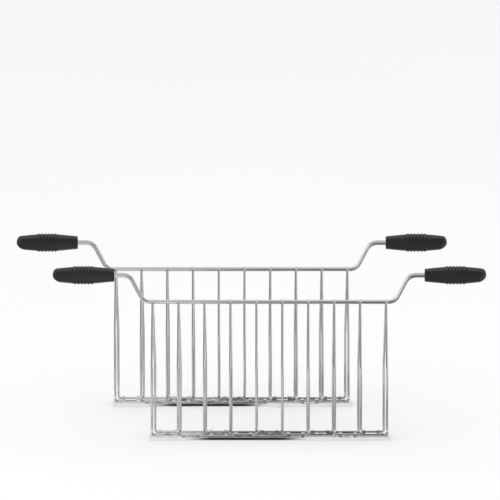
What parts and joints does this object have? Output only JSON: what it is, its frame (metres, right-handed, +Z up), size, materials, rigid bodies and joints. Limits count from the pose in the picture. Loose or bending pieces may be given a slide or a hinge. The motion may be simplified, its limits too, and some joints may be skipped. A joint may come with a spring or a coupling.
{
  "type": "toaster sandwich rack set",
  "caption": "Pair of hinged wire sandwich racks with split black grips, for toasting sandwiches in a long-slot toaster.",
  "frame": {"origin": "on the standing surface, at the middle of the box round the two closed racks", "axes": "+X along the racks, to the right as seen from the front; +Y from the front rack to the back rack; +Z up"},
  "size_m": [0.4698, 0.1878, 0.1749],
  "materials": {
    "chromed_rail": "bright chrome on drawn steel wire",
    "chromed_wire": "bright chrome on thin drawn steel wire",
    "chromed_base": "bright chrome on folded sheet steel, slightly rippled",
    "black_grip": "satin moulded plastic with fine ribs"
  },
  "bodies": {
    "rack_a_base": {"rack_a_base": "chromed_base"},
    "rack_a_front_grid": {"rack_a_front_rail": "chromed_rail", "rack_a_front_end_wire_left": "chromed_wire", "rack_a_front_end_wire_right": "chromed_wire", "rack_a_front_hairpin_1": "chromed_wire", "rack_a_front_hairpin_2": "chromed_wire", "rack_a_front_hairpin_3": "chromed_wire", "rack_a_front_hairpin_4": "chromed_wire", "rack_a_front_grip_left": "black_grip", "rack_a_front_grip_right": "black_grip"},
    "rack_a_back_grid": {"rack_a_back_rail": "chromed_rail", "rack_a_back_hairpin_1": "chromed_wire", "rack_a_back_hairpin_2": "chromed_wire", "rack_a_back_hairpin_3": "chromed_wire", "rack_a_back_hairpin_4": "chromed_wire", "rack_a_back_hairpin_5": "chromed_wire", "rack_a_back_grip_left": "black_grip", "rack_a_back_grip_right": "black_grip"},
    "rack_b_base": {"rack_b_base": "chromed_base"},
    "rack_b_front_grid": {"rack_b_front_rail": "chromed_rail", "rack_b_front_end_wire_left": "chromed_wire", "rack_b_front_end_wire_right": "chromed_wire", "rack_b_front_hairpin_1": "chromed_wire", "rack_b_front_hairpin_2": "chromed_wire", "rack_b_front_hairpin_3": "chromed_wire", "rack_b_front_hairpin_4": "chromed_wire", "rack_b_front_grip_left": "black_grip", "rack_b_front_grip_right": "black_grip"},
    "rack_b_back_grid": {"rack_b_back_rail": "chromed_rail", "rack_b_back_hairpin_1": "chromed_wire", "rack_b_back_hairpin_2": "chromed_wire", "rack_b_back_hairpin_3": "chromed_wire", "rack_b_back_hairpin_4": "chromed_wire", "rack_b_back_hairpin_5": "chromed_wire", "rack_b_back_grip_left": "black_grip", "rack_b_back_grip_right": "black_grip"}
  },
  "joints": [
    {"name": "rack_a_front_grid_hinge", "type": "hinge", "parent": "rack_a_base", "child": "rack_a_front_grid", "pos_m": [0.01885, -0.0888, 0.0047], "axis": [1, 0, 0], "range_deg": [0, 24]},
    {"name": "rack_a_back_grid_hinge", "type": "hinge", "parent": "rack_a_base", "child": "rack_a_back_grid", "pos_m": [0.01885, -0.0742, 0.0047], "axis": [-1, 0, 0], "range_deg": [0, 24]},
    {"name": "rack_b_lift_off", "type": "slide", "parent": "rack_a_base", "child": "rack_b_base", "axis": [0, 0, 1], "range_m": [0, 0.2]},
    {"name": "rack_b_front_grid_hinge", "type": "hinge", "parent": "rack_b_base", "child": "rack_b_front_grid", "pos_m": [-0.01885, 0.0742, 0.0047], "axis": [1, 0, 0], "range_deg": [0, 24]},
    {"name": "rack_b_back_grid_hinge", "type": "hinge", "parent": "rack_b_base", "child": "rack_b_back_grid", "pos_m": [-0.01885, 0.0888, 0.0047], "axis": [-1, 0, 0], "range_deg": [0, 24]}
  ]
}
